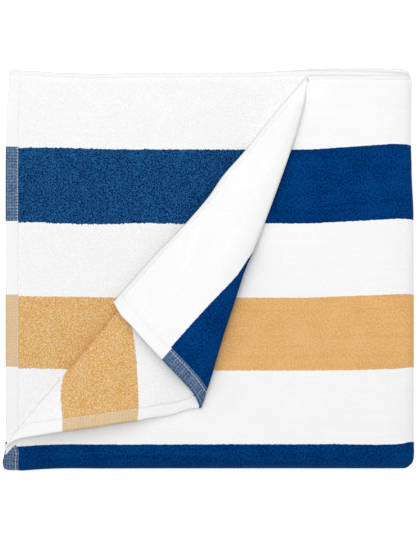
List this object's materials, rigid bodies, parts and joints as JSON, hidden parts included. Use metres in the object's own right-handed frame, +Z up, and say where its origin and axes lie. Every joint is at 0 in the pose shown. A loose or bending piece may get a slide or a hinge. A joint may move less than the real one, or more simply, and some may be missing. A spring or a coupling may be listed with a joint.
{
  "type": "folded beach towel",
  "caption": "Striped beach towel with a smooth pile face and looped back, folded square, with the end of its top layer turned over and back as a slanting flap.",
  "frame": {"origin": "on the surface the towel rests on, under the middle of its folded outline", "axes": "+Z up through the folded layers, +X along the stripes towards the folded right side, +Y away from the big fold towards the four loose edges"},
  "size_m": [0.3821, 0.3744, 0.0616],
  "materials": {
    "cotton": "cotton pile cloth, sheared smooth on the face and looped on the back, in wide white, navy blue and gold stripes"
  },
  "bodies": {
    "root": {"towel": "cotton"}
  },
  "joints": []
}
